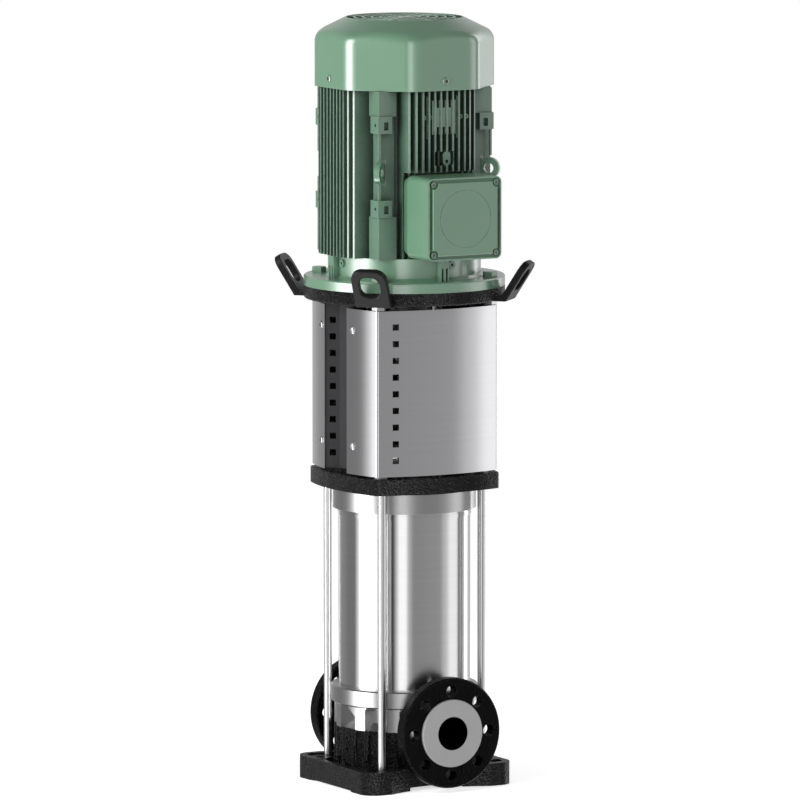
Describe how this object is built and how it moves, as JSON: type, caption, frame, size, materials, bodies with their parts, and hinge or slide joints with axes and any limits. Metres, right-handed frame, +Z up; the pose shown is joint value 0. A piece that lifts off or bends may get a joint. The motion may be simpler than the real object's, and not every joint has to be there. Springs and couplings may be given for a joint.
{
  "type": "vertical multistage pump",
  "caption": "Vertical inline multistage centrifugal pump with a finned flanged motor, steel sleeve, tie rods, coupling guard and loose pipe flanges.",
  "frame": {"origin": "middle of the foundation bolt pattern on the underside of the foot, under the shaft", "axes": "+Z up along the shaft, +X towards the outlet flange, the terminal box also faces +X"},
  "size_m": [0.3408, 0.3076, 1.146],
  "materials": {
    "black_casting": "rough cast, black paint",
    "black_lug": "smooth black paint",
    "black_flange": "black paint",
    "steel_casting": "fine blasted stainless casting",
    "collar_face": "turned face",
    "sleeve_steel": "brushed round",
    "rod_steel": "bright drawn steel",
    "guard_steel": "brushed sheet",
    "screw_steel": "bright steel",
    "vent_grey": "dark grey sheet",
    "motor_green": "satin green paint",
    "green_screw": "satin green paint",
    "stage_steel": "pressed stainless sheet",
    "shaft_steel": "ground steel",
    "bush_ceramic": "ground ceramic",
    "coupling_iron": "machined casting",
    "seal_rubber": "moulded",
    "core_steel": "stacked sheets",
    "winding_copper": "varnished wire",
    "board_plastic": "moulded",
    "fan_plastic": "moulded"
  },
  "bodies": {
    "pump": {"base_foot": "black_casting", "lantern": "black_casting", "lifting_lug_1": "black_lug", "lifting_lug_2": "black_lug", "lifting_lug_3": "black_lug", "lifting_lug_4": "black_lug", "pump_body": "steel_casting", "head_cover": "steel_casting", "outlet_collar": "collar_face", "inlet_collar": "collar_face", "outer_sleeve": "sleeve_steel", "tie_rod_1": "rod_steel", "tie_rod_2": "rod_steel", "tie_rod_3": "rod_steel", "tie_rod_4": "rod_steel", "tie_rod_nuts": "rod_steel", "flange_nuts": "rod_steel", "guard_front": "guard_steel", "guard_back": "guard_steel", "guard_screws": "screw_steel", "service_plugs": "screw_steel", "vent_panel_left": "vent_grey", "vent_panel_right": "vent_grey", "motor_flange": "motor_green", "flange_bolts": "motor_green", "stator_frame": "motor_green", "motor_eyes": "motor_green", "fan_end_shield": "motor_green", "fan_cover": "motor_green", "terminal_box": "motor_green", "terminal_lid": "motor_green", "cable_entry_plugs": "motor_green", "fan_cover_screws": "green_screw", "terminal_screws": "green_screw", "stage_casing_1": "stage_steel", "stage_casing_2": "stage_steel", "stage_casing_3": "stage_steel", "stage_casing_4": "stage_steel", "bearing_outer_rings": "shaft_steel", "lower_bush": "bush_ceramic", "seal_seat": "bush_ceramic", "body_seals": "seal_rubber", "stator_core": "core_steel", "stator_winding": "winding_copper", "terminal_board": "board_plastic"},
    "rotor": {"pump_shaft": "shaft_steel", "motor_shaft": "shaft_steel", "rotor_core": "core_steel", "bearing_inner_rings": "shaft_steel", "cooling_fan": "fan_plastic", "seal_head": "shaft_steel", "coupling_half_front": "coupling_iron", "coupling_half_back": "coupling_iron", "coupling_screws": "screw_steel", "impeller_1": "stage_steel", "impeller_2": "stage_steel", "impeller_3": "stage_steel", "impeller_4": "stage_steel"},
    "outlet_ring": {"outlet_flange": "black_flange"},
    "inlet_ring": {"inlet_flange": "black_flange"}
  },
  "joints": [
    {"name": "shaft_spin", "type": "hinge", "parent": "pump", "child": "rotor", "pos_m": [0, 0, 0.9], "axis": [0, 0, 1], "continuous": true},
    {"name": "outlet_flange_turn", "type": "hinge", "parent": "pump", "child": "outlet_ring", "pos_m": [0.136, 0, 0.09], "axis": [1, 0, 0], "continuous": true},
    {"name": "inlet_flange_turn", "type": "hinge", "parent": "pump", "child": "inlet_ring", "pos_m": [-0.136, 0, 0.09], "axis": [1, 0, 0], "continuous": true}
  ]
}
